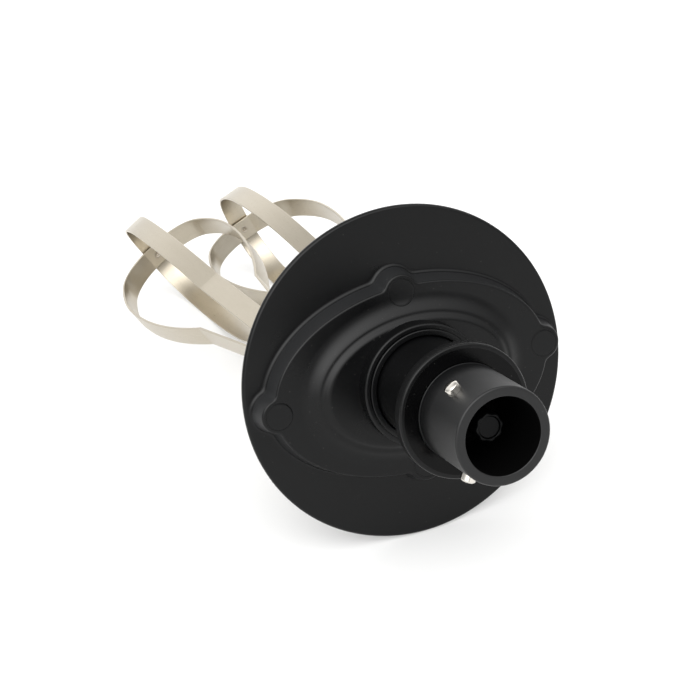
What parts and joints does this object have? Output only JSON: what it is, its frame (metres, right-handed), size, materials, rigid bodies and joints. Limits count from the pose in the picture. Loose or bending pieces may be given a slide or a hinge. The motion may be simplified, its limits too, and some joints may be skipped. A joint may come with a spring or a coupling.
{
  "type": "twin beater whisk attachment",
  "caption": "Geared whisk attachment for a stick mixer: two intermeshing steel strip beaters under a round splash cover, with a bayonet coupling tube.",
  "frame": {"origin": "on the hub axis, in the front face of the flange, where the mixer's socket seats", "axes": "+Z along the hub axis towards the mouth of the coupling tube, with the beaters hanging towards -Z; X along the line through the two beaters' axes"},
  "size_m": [0.12, 0.12, 0.3186],
  "materials": {
    "black_plastic": "fine mould texture",
    "tube_plastic": "satin",
    "strip_steel": "brushed along the strip",
    "polished_steel": "polished",
    "bearing_steel": "ground",
    "zinc_plate": "zinc plated",
    "bronze": "sintered",
    "gear_nylon": "satin",
    "seal_rubber": "matt"
  },
  "bodies": {
    "hub": {"coupling_tube": "tube_plastic", "bayonet_pin_1": "polished_steel", "bayonet_pin_2": "polished_steel", "bayonet_pin_3": "polished_steel", "flange_collar": "black_plastic", "neck_sleeve": "black_plastic", "splash_cover": "black_plastic", "screw_plug_right": "black_plastic", "screw_plug_front": "black_plastic", "screw_plug_left": "black_plastic", "screw_plug_back": "black_plastic", "cover_screw_right": "zinc_plate", "cover_screw_front": "zinc_plate", "cover_screw_left": "zinc_plate", "cover_screw_back": "zinc_plate", "housing_gasket": "seal_rubber", "gear_housing": "black_plastic", "bearing_plate": "zinc_plate", "upper_drive_bearing": "bearing_steel", "lower_drive_bearing": "bearing_steel", "drive_shaft_seal": "seal_rubber", "left_upper_bush": "bronze", "left_lower_bush": "bronze", "left_spindle_seal": "seal_rubber", "right_upper_bush": "bronze", "right_lower_bush": "bronze", "right_spindle_seal": "seal_rubber"},
    "left_beater": {"left_spindle": "polished_steel", "left_timing_gear": "gear_nylon", "left_driven_gear": "gear_nylon", "left_beater_block": "polished_steel", "left_ferrule": "polished_steel", "left_inner_loop": "strip_steel", "left_outer_loop": "strip_steel", "left_rivet": "polished_steel"},
    "right_beater": {"right_spindle": "polished_steel", "right_timing_gear": "gear_nylon", "right_beater_block": "polished_steel", "right_ferrule": "polished_steel", "right_inner_loop": "strip_steel", "right_outer_loop": "strip_steel", "right_rivet": "polished_steel"},
    "drive": {"drive_shaft": "bearing_steel", "drive_dog": "tube_plastic", "drive_pinion": "bearing_steel"}
  },
  "joints": [
    {"name": "left_beater_spin", "type": "hinge", "parent": "hub", "child": "left_beater", "pos_m": [-0.021, 0, -0.08], "axis": [0, 0, 1], "continuous": true},
    {"name": "right_beater_spin", "type": "hinge", "parent": "hub", "child": "right_beater", "pos_m": [0.021, 0, -0.08], "axis": [0, 0, 1], "continuous": true},
    {"name": "drive_spin", "type": "hinge", "parent": "hub", "child": "drive", "pos_m": [0, 0, -0.02], "axis": [0, 0, 1], "continuous": true}
  ],
  "couplings": [
    {"joint": "right_beater_spin", "follows": "left_beater_spin", "ratio": -1},
    {"joint": "drive_spin", "follows": "left_beater_spin", "ratio": -3}
  ]
}
